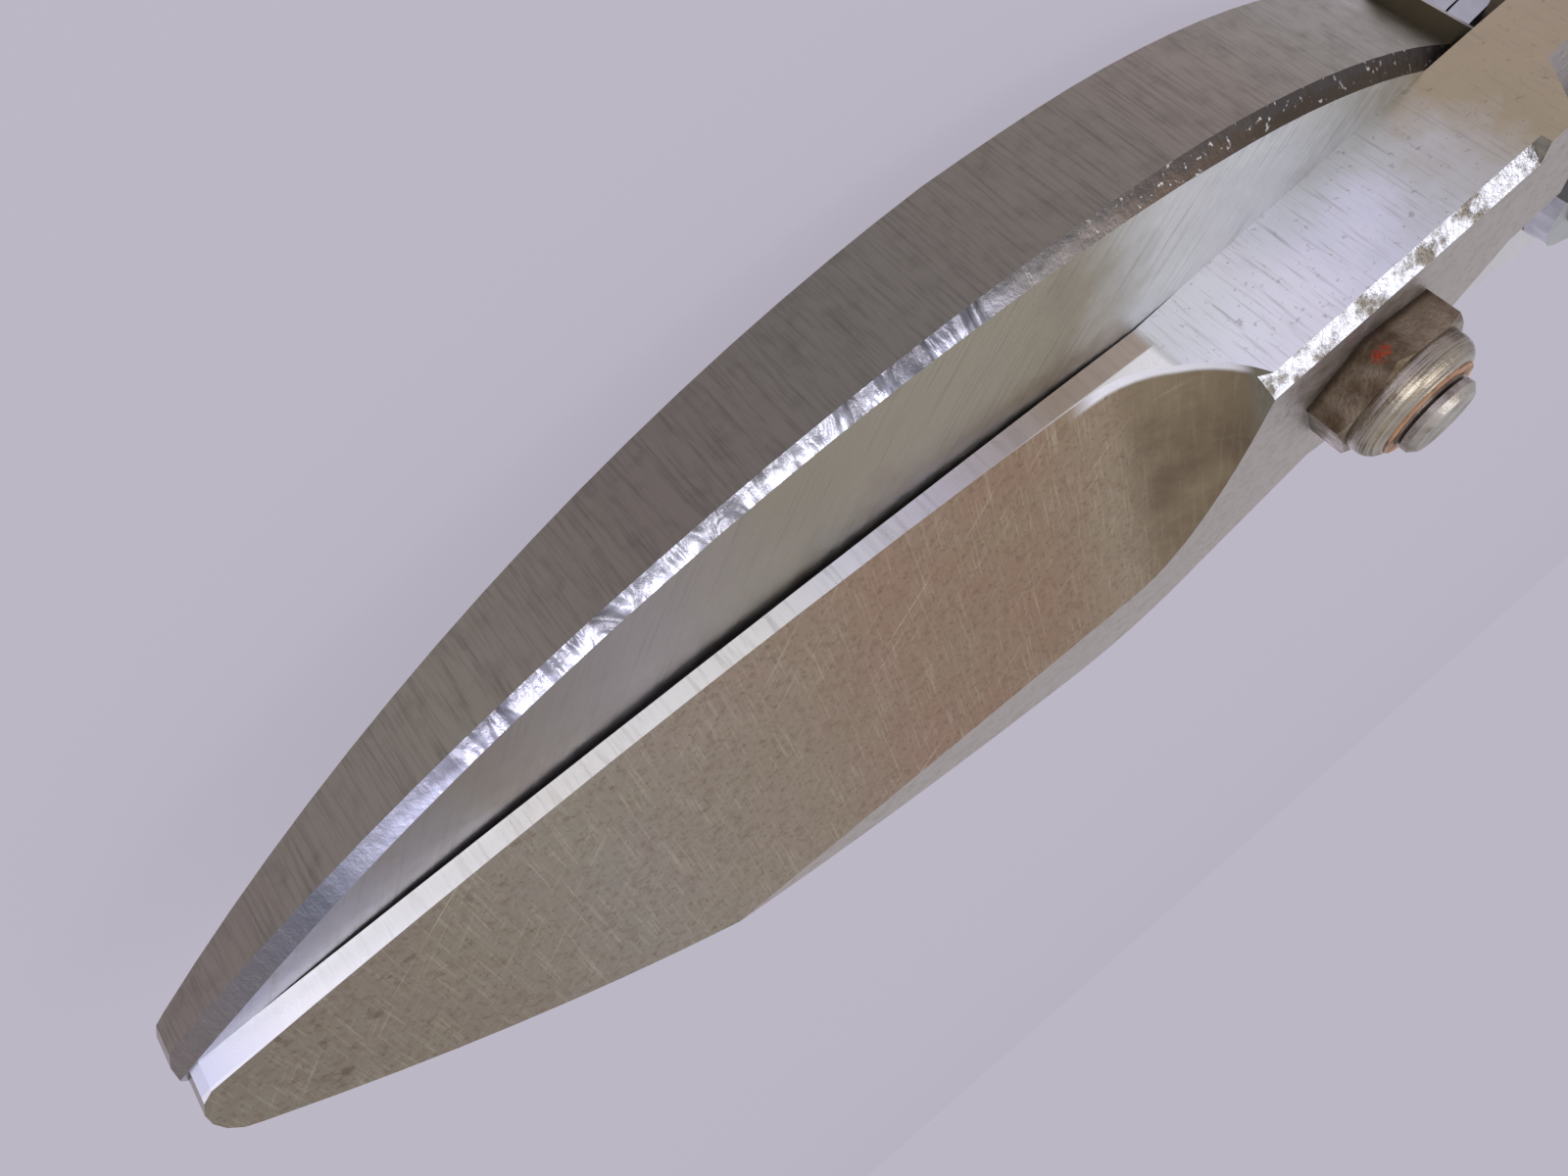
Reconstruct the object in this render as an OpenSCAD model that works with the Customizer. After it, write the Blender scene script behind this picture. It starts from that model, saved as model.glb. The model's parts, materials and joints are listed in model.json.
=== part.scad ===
// Long-cut aviation snips: two forged blades on one pivot bolt, worked through a
// compound linkage by two stamped channel handles with dipped grips.
// Working frame: the pivot axis is Z, the tips point to -X, the handles to +X, and the
// shear plane of the closed blades is z = 0. The nut side is +Z. The whole tool is then
// moved so that it lies on z = 0 with its box centred on the origin.

/* [Blades] */
// Distance from the pivot to the end of the cutting edges
blade_reach = 90; // [80:0.5:100]
// Thickness of each blade blank
blade_t = 9.5; // [8.5:0.1:10.5]
// Height of the cutting edge above the pivot line at the tip
edge_y_tip = 1.6; // [1:0.1:2.4]
// Height of the cutting edge above the pivot line at its rear end
edge_y_rear = 8; // [7:0.1:9]
// Distance from the pivot to the rear end of the cutting edge
edge_rear = 16; // [14:0.5:18]
// How far the cutting edge bulges at its middle
edge_crown = 1; // [0.4:0.1:1.6]
// Width of the flat land beside the cutting edge
land_w = 2; // [1.5:0.1:2.5]
// Slope of the ground relief of the lower blade
relief_angle = 21; // [18:0.5:24]
// Slope of the ground relief of the upper blade
upper_relief_angle = 15; // [13:0.5:18]
// Radius of the wheel run-out at the rear of each relief
runout_r = 10; // [8:0.5:14]
// Greatest height of each blade's back from the pivot line
back_h = 21.3; // [19:0.1:23]
// Distance of that greatest height in front of the pivot
back_peak = 18; // [16:0.5:24]
// Radius of the back from its highest point to the tip
back_r = 151; // [140:1:165]
// Radius of the upper blade's back behind its highest point
back_rear_r = 68; // [60:1:76]
// Width of the rough bevel between the inner face and the back
back_bevel = 1.1; // [0.8:0.1:1.8]
// Depth of the hollow in each inner face
hollow_d = 0.25; // [0.1:0.05:0.4]

/* [Pivot] */
// Diameter of the pivot bolt
bolt_d = 6.35; // [5:0.05:7]
// Width across flats of the bolt head
bolt_head_af = 12.7; // [11:0.1:14]
// Height of the bolt head
bolt_head_h = 2.4; // [2:0.1:3.5]
// How far the bolt stands out of the nut
bolt_proud = 1.6; // [0.8:0.1:2.4]
// Width across flats of the nut
nut_af = 11.1; // [10:0.1:12]
// Height of the nut's hexagon
nut_hex_h = 3.1; // [2.6:0.1:3.6]
// Height of the nut's round collar
nut_collar_h = 2.2; // [1.8:0.1:2.8]
// Thickness of the washer under the bolt head
washer_t = 0.8; // [0.5:0.1:1.2]

/* [Shanks and linkage] */
// Slope of the shanks where they leave the pivot boss
shank_slope = 14; // [12:0.5:16]
// Radius of the full-thickness boss round the pivot
boss_r = 19; // [18:0.5:19.5]
// Half the thickness of the tangs
tang_half = 5; // [4:0.1:5.5]
// Distance from the pivot to the centre pin of the handles
centre_pin_x = 29; // [28.5:0.5:31]
// Distance from the pivot to the tang rivets
tang_pin_x = 59; // [57:0.5:62]
// Height of the tang rivets above and below the centre line
tang_pin_y = 12.5; // [12:0.1:13.5]
// Diameter of the tang rivets and of the centre pin
rivet_d = 6; // [5:0.1:6.5]
// Radius of the round end of each tang
tang_r = 6.4; // [6:0.1:7]

/* [Handles] */
// Distance from the pivot to the rear end of the grips
handle_reach = 203; // [185:1:215]
// Thickness of the handle sheet
sheet_t = 2; // [1.5:0.1:2.2]
// Height of the handle channels
channel_h = 12; // [11:0.5:13]
// How far the handles bow outwards
handle_bow = 10; // [6:0.5:14]
// Distance from the pivot to the front end of the grips
grip_front = 101; // [99:1:110]
// Wall of the grips outside the channel
grip_wall = 2.4; // [1.8:0.1:3]
// Extra height of the grips at the palm
palm_swell = 1.4; // [0.5:0.1:2.5]
// Half the width of both grips
grip_half_w = 11.5; // [11.3:0.1:12.2]

/* [Spring and latch] */
// Outer diameter of the return spring
spring_d = 8; // [7:0.1:8.6]
// Diameter of the spring wire
spring_wire = 1.2; // [0.9:0.1:1.4]
// Number of turns of the return spring
spring_turns = 7; // [5:1:8]
// Distance from the pivot to the return spring
spring_x = 45; // [44:0.5:46]
// Distance from the pivot to the latch rivet
latch_x = 71; // [70.5:0.5:73]
// Distance from the latch rivet to the catch stud
latch_reach = 22.8; // [22:0.1:23.5]
// Thickness of the latch hook
latch_t = 1.8; // [1.4:0.1:2]

/* [Hidden] */
$fn = 64;

// Clearances
turn_gap = 0.05;      // radial, a pin in the hole that it turns in
fixed_gap = 0.03;     // radial, a pin held fast in its hole
side_gap = 0.1;       // between flat faces that slide past each other
centre_gap = 0.35;    // radial, the centre pin in the lower handle, which takes up the linkage
cut = 1;              // how far a cutting shape passes the surface that it cuts

// Heights of the stacked sheets, each way from the shear plane
inner_cheek = tang_half + 0.3;
outer_cheek = inner_cheek + sheet_t + 0.2;
inner_face = inner_cheek + sheet_t;
outer_face = outer_cheek + sheet_t;
rivet_head_h = 1.4;
rivet_head_d = rivet_d + 3.4;
head_z = -blade_t - washer_t - bolt_head_h;
nut_top = blade_t + nut_hex_h + nut_collar_h;
latch_z = outer_face + side_gap;
ear_r = 7;

// Linkage points
centre_pin = [centre_pin_x, 0];
upper_pin = [tang_pin_x, tang_pin_y];
lower_pin = [tang_pin_x, -tang_pin_y];
latch_pin = [latch_x, -tang_pin_y + 1.3];
latch_angle = 75;     // swing of the hook from lying along the handle to the catch stud
stud_pin = latch_pin + latch_reach * [cos(latch_angle), sin(latch_angle)];

nose_r = 2.45;        // rounding of the blades' tips

// Points of an arc, from angle a to angle b
function arc(c, r, a, b, n) = [for (i = [0 : n]) c + r * [cos(a + (b - a) * i / n), sin(a + (b - a) * i / n)]];
function flip(points) = [for (p = points) [p[0], -p[1]]];

// ---- Blade outlines, drawn for the lower blade: edge on top, back below ----
edge_run = blade_reach - edge_rear;
edge_rise = edge_y_rear - edge_y_tip;
edge_tilt = atan(edge_rise / edge_run);
edge_chord = norm([edge_run, edge_rise]);
edge_r = (pow(edge_chord / 2, 2) + pow(edge_crown, 2)) / (2 * edge_crown);
edge_half_angle = asin(edge_chord / 2 / edge_r);
edge_mid = [-(blade_reach + edge_rear) / 2, (edge_y_tip + edge_y_rear) / 2];
edge_c = edge_mid - (edge_r - edge_crown) * [-sin(edge_tilt), cos(edge_tilt)];
edge_points = arc(edge_c, edge_r, 90 + edge_tilt - edge_half_angle, 90 + edge_tilt + edge_half_angle, 10);

back_c = [-back_peak, back_r - back_h];
function back_y(x) = back_c[1] - sqrt(pow(back_r, 2) - pow(x - back_c[0], 2));
back_tip_angle = 270 - asin((blade_reach - back_peak) / back_r);
nose_top = [-blade_reach, edge_y_tip];
nose_low = [-blade_reach, back_y(-blade_reach)];
nose_c = (nose_top + nose_low) / 2 + [sqrt(max(0.01, pow(nose_r, 2) - pow(norm(nose_top - nose_low) / 2, 2))), 0];
nose_half = asin(min(1, norm(nose_top - nose_low) / 2 / nose_r));
nose_points = arc(nose_c, nose_r, 180 - nose_half, 180 + nose_half, 6);

// Place of the whole tool: its box is centred over the origin and rests on z = 0
tool_shift = [-(nose_c[0] - nose_r + handle_reach) / 2, 0, -head_z];
module placed() translate(tool_shift) children();

// The back is drawn outside its arc and is then trimmed to it together with the bevel
back_spare = 1.5;
back_points = arc(back_c, back_r + back_spare, back_tip_angle, 270, 14);

// Top of the shank: straight off the boss, then an arc that levels out along the tang
shank_top = tang_pin_y + tang_r;
shank_line_x = 9.5;
shank_line_y = edge_y_rear + (shank_line_x + edge_rear) * tan(shank_slope);
shank_arc_r = max(10, (shank_top - shank_line_y) / (1 - cos(shank_slope)));
shank_arc_c = [shank_line_x + shank_arc_r * sin(shank_slope), shank_top - shank_arc_r];
shank_points = arc(shank_arc_c, shank_arc_r, 90, 90 + shank_slope, 8);
tang_points = arc(upper_pin, tang_r, -90, 90, 12);
tang_low = tang_pin_y - tang_r;

// Rear of the lower blade's back: up round the heel to the boss under the nut
heel_r = 20;
heel_x = -24;
heel_c = [heel_x, back_y(heel_x) + heel_r];
collar_r = 10.7;
lower_rear = concat(
    arc(heel_c, heel_r, 268, 308, 12),
    arc([0, 0], collar_r, 262, 345, 14),
    [[14, 2.6], [22, tang_low - 0.4]]);
lower_outline = concat(
    nose_points,
    [for (p = back_points) if (p[0] < heel_x - 1) p],
    lower_rear,
    tang_points,
    shank_points,
    edge_points);

// The upper blade is the same forging turned over, with a fuller back behind its highest
// point and a scoop that clears the centre sleeve
rear_c = [-back_peak, back_rear_r - back_h];
rear_end_x = 14;
rear_end_y = rear_c[1] - sqrt(pow(back_rear_r, 2) - pow(rear_end_x + back_peak, 2));
scoop_r = rivet_d / 2 + 3.2;
upper_rear = concat(
    arc(rear_c, back_rear_r + back_spare, 270, 270 + asin((rear_end_x + back_peak) / back_rear_r), 8),
    [[rear_end_x + 0.6, rear_end_y], [20, -8.5]],
    arc(centre_pin, scoop_r, 195, 90, 8),
    [[centre_pin_x + 3, tang_low]]);
upper_outline = flip(concat(nose_points, back_points, upper_rear, tang_points, shank_points, edge_points));

// Shank thickness: full inside the boss, then a cone down to the tang's half thickness
shoulder_run = 2.2;
module beyond_boss()
    difference() {
        translate([0, -60, tang_half]) cube([120, 120, 20]);
        translate([0, 0, tang_half - 0.01])
            cylinder(h = blade_t - tang_half + 0.02, r1 = boss_r + shoulder_run, r2 = boss_r, $fn = 96);
        translate([0, 0, blade_t]) cylinder(h = 20, r = boss_r, $fn = 96);
    }

// The tang spans both sides of the shear plane behind this distance
tang_start = 27;
module far_side_tang(points)
    intersection() {
        translate([0, 0, -tang_half]) linear_extrude(tang_half) polygon(points);
        translate([tang_start, 0, -tang_half]) cube([120, 40, tang_half]);
    }

// Ground relief of the lower blade: a plane from the land's outer side down to the outer
// face, with the wheel's radius at its rear end
runout_x = -edge_rear - 5.8;
module relief(angle)
    translate([-edge_rear, edge_y_rear, land_w])
        rotate([0, 0, edge_tilt])
            rotate([90 - angle, 0, 0])
                translate([runout_x + edge_rear, 0, -60])
                    linear_extrude(120) {
                        translate([-120, 0]) square([120, runout_r]);
                        translate([0, runout_r]) circle(r = runout_r, $fn = 96);
                        translate([-120, runout_r]) square([120 + runout_r, 30]);
                    }

// Shallow hollow along the inner face, so that the closed blades bear at tip and pivot
hollow_from = -blade_reach + 4;
hollow_to = -12;
hollow_r = (pow((hollow_to - hollow_from) / 2, 2) + pow(hollow_d, 2)) / (2 * hollow_d);
hollow_half = asin((hollow_to - hollow_from) / 2 / hollow_r);
hollow_c = [(hollow_from + hollow_to) / 2, hollow_d - hollow_r];
module hollow()
    translate([0, 40, 0]) rotate([90, 0, 0]) linear_extrude(80)
        polygon(concat(
            [[hollow_from, -cut]],
            arc(hollow_c, hollow_r, 90 + hollow_half, 90 - hollow_half, 10),
            [[hollow_to, -cut]]));

// Trims the back to its arc, with the rough bevel between it and the inner face
module back_cut(c, r, from_x, to_x)
    intersection() {
        translate([c[0], c[1], 0])
            rotate_extrude($fn = 360)
                polygon([[r - back_bevel - cut, -cut], [r, back_bevel], [r, blade_t + cut],
                         [r + 8, blade_t + cut], [r + 8, -cut]]);
        translate([from_x, -60, -2 * cut]) cube([to_x - from_x, 60, blade_t + 4 * cut]);
    }

// Small bevel along one straight stretch of the shank's outer top edge
edge_bevel = 0.8;
module edge_bevel_cut(p, q)
    translate([p[0], p[1], blade_t])
        rotate([0, 0, atan2(q[1] - p[1], q[0] - p[0])])
            rotate([45, 0, 0])
                translate([-0.2, -edge_bevel * 2, -edge_bevel / sqrt(2)])
                    cube([norm(q - p) + 0.4, edge_bevel * 4, edge_bevel * 3]);

spring_pocket = 2.5;
spring_len = 2 * (tang_low + spring_pocket);
module spring_seat(side)
    translate([spring_x, side * (tang_low - cut), 0])
        rotate([-90 * side, 0, 0]) cylinder(h = spring_pocket + cut, d = spring_d + 0.5);

module lower_blade_body()
    difference() {
        union() {
            linear_extrude(blade_t) polygon(lower_outline);
            far_side_tang(lower_outline);
        }
        beyond_boss();
        relief(relief_angle);
        hollow();
        back_cut(back_c, back_r, -blade_reach - 5, heel_x);
        edge_bevel_cut([-edge_rear + 2.5, edge_y_rear + 2.5 * tan(shank_slope)], [shank_line_x, shank_line_y]);
        translate([0, 0, -cut]) cylinder(h = blade_t + 2 * cut, r = bolt_d / 2 + fixed_gap);
        translate([upper_pin[0], upper_pin[1], -20]) cylinder(h = 40, r = rivet_d / 2 + turn_gap);
        spring_seat(1);
    }

module upper_blade_body()
    difference() {
        union() {
            translate([0, 0, -blade_t]) linear_extrude(blade_t) polygon(upper_outline);
            rotate([180, 0, 0]) far_side_tang(flip(upper_outline));
        }
        rotate([180, 0, 0]) {
            beyond_boss();
            relief(upper_relief_angle);
            hollow();
            back_cut(back_c, back_r, -blade_reach - 5, -back_peak);
            back_cut(rear_c, back_rear_r, -back_peak, rear_end_x);
        }
        translate([0, 0, -blade_t - cut]) cylinder(h = blade_t + 2 * cut, r = bolt_d / 2 + turn_gap);
        translate([lower_pin[0], lower_pin[1], -20]) cylinder(h = 40, r = rivet_d / 2 + turn_gap);
        spring_seat(-1);
    }

module lower_blade() color("#a39a8c") placed() lower_blade_body();
module upper_blade() color("#6f6b68") placed() upper_blade_body();

// ---- Pivot bolt, washer, nut and its fibre insert ----
thread_groove = 0.3;
module pivot_bolt()
    color("#8d8a84") placed() {
        shank_end = nut_top + bolt_proud;
        difference() {
            union() {
                translate([0, 0, head_z]) cylinder(h = bolt_head_h, d = bolt_head_af / cos(30), $fn = 6);
                translate([0, 0, head_z + 0.5]) cylinder(h = shank_end - head_z - 1, d = bolt_d);
                translate([0, 0, shank_end - 0.5]) cylinder(h = 0.5, d1 = bolt_d, d2 = bolt_d - 1);
            }
            translate([0, 0, shank_end - 1.15])
                rotate_extrude()
                    polygon([[bolt_d / 2 - thread_groove, 0], [bolt_d / 2 + cut, -0.6], [bolt_d / 2 + cut, 0.6]]);
        }
    }

module pivot_washer()
    color("#8d8a84") placed()
        difference() {
            translate([0, 0, -blade_t - washer_t]) cylinder(h = washer_t, d = bolt_head_af + 3);
            translate([0, 0, -blade_t - washer_t - cut]) cylinder(h = washer_t + 2 * cut, r = bolt_d / 2 + turn_gap);
        }

collar_base_r = nut_af / 2 - 0.3;
collar_rim_r = bolt_d / 2 + 0.95;
insert_h = 1.2;
insert_r = collar_rim_r - 0.1;
module pivot_nut()
    color("#6e6860") placed() translate([0, 0, blade_t])
        difference() {
            union() {
                intersection() {
                    cylinder(h = nut_hex_h, d = nut_af / cos(30), $fn = 6);
                    cylinder(h = nut_hex_h, r1 = nut_af, r2 = nut_af / 2 + 0.25);
                    translate([0, 0, -nut_af / 2 + 0.9]) cylinder(h = nut_af, r1 = nut_af * 1.5 / 2 - 1.6, r2 = nut_af * 1.5);
                }
                rotate_extrude()
                    polygon(concat(
                        [[1, 0.5], [collar_base_r, 0.5], [collar_base_r, nut_hex_h]],
                        arc([collar_base_r - 1.5, nut_hex_h + nut_collar_h - 1.5], 1.5, 0, 72, 6),
                        [[collar_rim_r, nut_hex_h + nut_collar_h], [1, nut_hex_h + nut_collar_h]]));
            }
            translate([0, 0, -cut]) cylinder(h = nut_hex_h + nut_collar_h + 2 * cut, r = bolt_d / 2 + fixed_gap);
            translate([0, 0, nut_hex_h + nut_collar_h - insert_h])
                cylinder(h = insert_h + cut, r = insert_r + fixed_gap);
        }

module nut_insert()
    color("#b0764a") placed() translate([0, 0, nut_top - insert_h])
        difference() {
            cylinder(h = insert_h + 0.15, r = insert_r);
            translate([0, 0, -cut]) cylinder(h = insert_h + 3 * cut, r = bolt_d / 2 + fixed_gap);
        }

// ---- Handles: a channel with two cheeks and a web on its outer side ----
web_front = tang_pin_x + ear_r + 1;
frame_end = handle_reach - grip_wall - 2;
function handle_line(x) = tang_pin_y + handle_bow * pow(sin(90 * max(0, x - web_front) / 94), 2);
frame_stations = [for (i = [0 : 16]) web_front + (frame_end - web_front) * i / 16];
frame_top = [for (x = frame_stations) [x, handle_line(x) + channel_h / 2]];
frame_low = [for (i = [16 : -1 : 0]) [frame_stations[i], handle_line(frame_stations[i]) - channel_h / 2]];
frame_inner_top = [for (p = frame_top) [p[0], p[1] - sheet_t]];
function reversed(v) = [for (i = [len(v) - 1 : -1 : 0]) v[i]];

// Ear: from the centre pin to the tang rivet and on into the channel
ear_dir = atan2(tang_pin_y, tang_pin_x - centre_pin_x);
cheek_outline = concat(
    arc(centre_pin, ear_r, ear_dir + 90, ear_dir + 270, 12),
    [[tang_pin_x + 1, tang_pin_y - ear_r]],
    reversed(frame_low),
    reversed(frame_top),
    arc(upper_pin, ear_r, 90, ear_dir + 90, 3));

// side = 1 for the upper handle, -1 for the lower one
module handle_frame(side, cheek_z, pin_gap)
    mirror([0, side < 0 ? 1 : 0, 0])
        difference() {
            union() {
                for (z = [-cheek_z - sheet_t, cheek_z])
                    translate([0, 0, z]) linear_extrude(sheet_t) polygon(cheek_outline);
                translate([0, 0, -cheek_z - sheet_t / 2])
                    linear_extrude(2 * cheek_z + sheet_t) polygon(concat(frame_top, reversed(frame_inner_top)));
            }
            translate([centre_pin[0], centre_pin[1], -20]) cylinder(h = 40, r = rivet_d / 2 + pin_gap);
            translate([upper_pin[0], upper_pin[1], -20]) cylinder(h = 40, r = rivet_d / 2 + fixed_gap);
        }

module upper_handle_frame()
    color("#7d7f80") placed()
        difference() {
            handle_frame(1, inner_cheek, fixed_gap);
            translate([stud_pin[0], stud_pin[1], 0]) cylinder(h = 20, r = stud_d / 2 + fixed_gap);
        }

module lower_handle_frame()
    color("#7d7f80") placed()
        difference() {
            handle_frame(-1, outer_cheek, centre_gap);
            translate([latch_pin[0], latch_pin[1], 0]) cylinder(h = 20, r = latch_rivet_d / 2 + fixed_gap);
        }

// ---- Grips: dipped sheaths round the channels ----
grip_stations = [for (i = [0 : 20]) grip_front + (handle_reach - grip_front) * i / 20];
function grip_half_h(x) =
    let (u = (x - grip_front) / (handle_reach - grip_front))
    channel_h / 2 + grip_wall
        + palm_swell * pow(sin(180 * u), 2)
        - 1.6 * pow(max(0, u - 0.9) / 0.1, 2)
        - 1.2 * pow(max(0, 0.06 - u) / 0.06, 2);
grip_outline = concat(
    [for (x = grip_stations) [x, handle_line(x) + grip_half_h(x)]],
    [for (x = reversed(grip_stations)) [x, handle_line(x) - grip_half_h(x)]]);
grip_corner = 4;
channel_outline = concat(frame_top, frame_low);

module grip(side, cheek_z)
    mirror([0, side < 0 ? 1 : 0, 0])
        difference() {
            intersection() {
                translate([0, 0, -grip_half_w]) linear_extrude(2 * grip_half_w) polygon(grip_outline);
                rotate([-90, 0, 0]) translate([0, 0, -10])
                    linear_extrude(60)
                        polygon(concat(
                            [[grip_front, -grip_half_w + 1.5], [grip_front, grip_half_w - 1.5]],
                            [[grip_front + 3, grip_half_w]],
                            arc([handle_reach - grip_corner, grip_half_w - grip_corner], grip_corner, 90, 0, 6),
                            arc([handle_reach - grip_corner, -grip_half_w + grip_corner], grip_corner, 0, -90, 6),
                            [[grip_front + 3, -grip_half_w]]));
            }
            translate([0, 0, -cheek_z - sheet_t]) linear_extrude(2 * (cheek_z + sheet_t)) polygon(channel_outline);
        }

module upper_grip() color("#d9a514") placed() grip(1, inner_cheek);
module lower_grip() color("#d9a514") placed() grip(-1, outer_cheek);

// ---- Rivets, washers and sleeve of the linkage ----
module rivet(at, face, d)
    translate([at[0], at[1], 0]) {
        translate([0, 0, -face]) cylinder(h = 2 * face, d = d);
        for (s = [-1, 1])
            scale([1, 1, s]) translate([0, 0, face])
                rotate_extrude()
                    polygon(concat(
                        [[0, 0]],
                        [[rivet_head_d / 2, 0], [rivet_head_d / 2, rivet_head_h * 0.35]],
                        [[rivet_head_d / 2 - 0.6, rivet_head_h * 0.75], [rivet_head_d / 2 - 1.6, rivet_head_h]],
                        [[0, rivet_head_h]]));
    }

module upper_tang_rivet() color("#97948e") placed() rivet(upper_pin, inner_face, rivet_d);
module lower_tang_rivet() color("#97948e") placed() rivet(lower_pin, outer_face, rivet_d);
module handle_centre_rivet() color("#97948e") placed() rivet(centre_pin, outer_face + side_gap, rivet_d);

module ring(at, z, h, d, bore_r)
    translate([at[0], at[1], z])
        difference() {
            cylinder(h = h, d = d);
            translate([0, 0, -cut]) cylinder(h = h + 2 * cut, r = bore_r);
        }

washer_gap_h = outer_cheek - tang_half - side_gap;
module lower_tang_washers()
    color("#97948e") placed()
        for (z = [tang_half + side_gap, -tang_half - side_gap - washer_gap_h])
            ring(lower_pin, z, washer_gap_h, 2 * tang_r - 1, rivet_d / 2 + turn_gap);

module centre_sleeve()
    color("#97948e") placed()
        ring(centre_pin, -inner_cheek + side_gap / 2, 2 * inner_cheek - side_gap, rivet_d + 3, rivet_d / 2 + turn_gap);

// ---- Return spring between the tangs ----
coil_r = (spring_d - spring_wire) / 2;
coil_steps = 14;
wire_sides = 8;
coil_rings = spring_turns * coil_steps;
coil_rise = spring_len - spring_wire - 0.2;
// The end turns lie closed, so the wire climbs only between them
function coil_climb(u) = let (e = 0.8 / spring_turns) u < e ? u / e * spring_wire / coil_rise * 0.8
    : u > 1 - e ? 1 - (1 - u) / e * spring_wire / coil_rise * 0.8
    : spring_wire / coil_rise * 0.8 + (u - e) / (1 - 2 * e) * (1 - 1.6 * spring_wire / coil_rise);
function coil_point(i, j) =
    let (a = 360 * i / coil_steps, b = 360 * j / wire_sides, r = coil_r + spring_wire / 2 * cos(b))
    [r * cos(a), coil_climb(i / coil_rings) * coil_rise - coil_rise / 2 + spring_wire / 2 * sin(b), r * sin(a)];
module return_spring()
    color("#55524e") placed() translate([spring_x, 0, 0])
        polyhedron(
            points = [for (i = [0 : coil_rings]) for (j = [0 : wire_sides - 1]) coil_point(i, j)],
            faces = concat(
                [[for (j = [0 : wire_sides - 1]) j]],
                [for (i = [0 : coil_rings - 1]) for (j = [0 : wire_sides - 1])
                    [i * wire_sides + j, (i + 1) * wire_sides + j,
                     (i + 1) * wire_sides + (j + 1) % wire_sides, i * wire_sides + (j + 1) % wire_sides]],
                [[for (j = [wire_sides - 1 : -1 : 0]) coil_rings * wire_sides + j]]));

// ---- Latch: a hook on the lower handle that swings over a stud on the upper one ----
latch_rivet_d = 4;
stud_d = 4;
stud_head_h = 1;
hook_r = 4.4;
hook_half_w = 2.6;
stud_slot = stud_d / 2 + 0.4;
module latch_hook()
    color("#8f9092") placed() translate([latch_pin[0], latch_pin[1], latch_z])
        difference() {
            union() {
                cylinder(h = latch_t, r = hook_r);
                translate([0, -hook_half_w, 0]) cube([latch_reach, 2 * hook_half_w, latch_t]);
                translate([latch_reach, 0, 0]) cylinder(h = latch_t, r = hook_r);
                // Bent-up thumb tab below the hook
                translate([latch_reach - 9, -hook_half_w - 4, 0]) cube([7, 5, latch_t]);
                translate([latch_reach - 9, -hook_half_w - 4, 0]) cube([7, latch_t, 3.4]);
            }
            translate([0, 0, -cut]) cylinder(h = latch_t + 2 * cut, r = latch_rivet_d / 2 + turn_gap);
            translate([latch_reach, 0, -cut]) cylinder(h = latch_t + 2 * cut, r = stud_slot);
            translate([latch_reach - stud_slot, 0, -cut]) cube([2 * stud_slot, 10, latch_t + 2 * cut]);
        }

module latch_rivet()
    color("#97948e") placed() translate([latch_pin[0], latch_pin[1], 0]) {
        translate([0, 0, outer_cheek - 0.8]) cylinder(h = latch_z + latch_t - outer_cheek + 1.6, d = latch_rivet_d);
        translate([0, 0, outer_cheek - 1.2]) cylinder(h = 1.2, d = latch_rivet_d + 2);
        translate([0, 0, latch_z + latch_t + 0.7])
            cylinder(h = 1.1, d1 = latch_rivet_d + 3, d2 = latch_rivet_d + 1.4);
    }

module latch_washer()
    color("#97948e") placed()
        ring(latch_pin, latch_z + latch_t + 0.1, 0.5, latch_rivet_d + 4, latch_rivet_d / 2 + turn_gap);

module latch_stud()
    color("#97948e") placed() translate([stud_pin[0], stud_pin[1], 0]) {
        translate([0, 0, inner_cheek - 1]) cylinder(h = 1, d = stud_d + 2);
        translate([0, 0, inner_cheek - 0.5]) cylinder(h = latch_z + latch_t + 1 - inner_cheek, d = stud_d);
        translate([0, 0, latch_z + latch_t + 0.3]) cylinder(h = stud_head_h, d = stud_d + 1.6);
    }

lower_blade();
upper_blade();
pivot_bolt();
pivot_washer();
pivot_nut();
nut_insert();
upper_handle_frame();
lower_handle_frame();
upper_grip();
lower_grip();
upper_tang_rivet();
lower_tang_rivet();
lower_tang_washers();
handle_centre_rivet();
centre_sleeve();
return_spring();
latch_hook();
latch_rivet();
latch_washer();
latch_stud();
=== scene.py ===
"""Finishes a pair of long-cut aviation snips: forged and ground blades, worn lock nut,
stamped handles, vinyl grips, return spring and latch, on a plain pale stage."""

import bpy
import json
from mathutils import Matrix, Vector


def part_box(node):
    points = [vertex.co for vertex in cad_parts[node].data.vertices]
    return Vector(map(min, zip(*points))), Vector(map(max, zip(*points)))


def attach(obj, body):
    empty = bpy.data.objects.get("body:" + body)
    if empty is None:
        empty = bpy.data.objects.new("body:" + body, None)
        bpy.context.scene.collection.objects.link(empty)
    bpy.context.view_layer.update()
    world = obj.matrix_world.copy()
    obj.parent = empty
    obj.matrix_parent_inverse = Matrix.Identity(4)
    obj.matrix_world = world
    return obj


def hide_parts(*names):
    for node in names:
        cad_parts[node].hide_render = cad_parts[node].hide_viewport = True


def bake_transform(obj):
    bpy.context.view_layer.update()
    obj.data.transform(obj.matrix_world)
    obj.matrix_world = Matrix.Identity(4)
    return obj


bl_info = {
    "name": "Aviation Snips Finisher",
    "version": (1, 0, 0),
    "blender": (4, 5, 0),
    "location": "View3D > Sidebar > Snips",
    "description": "Materials, grips, return spring and studio stage for aviation snips",
    "category": "Object",
}

import json
import math

import bpy
import bmesh
from bpy.props import FloatProperty, FloatVectorProperty, IntProperty, PointerProperty
from mathutils import Matrix, Vector

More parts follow.
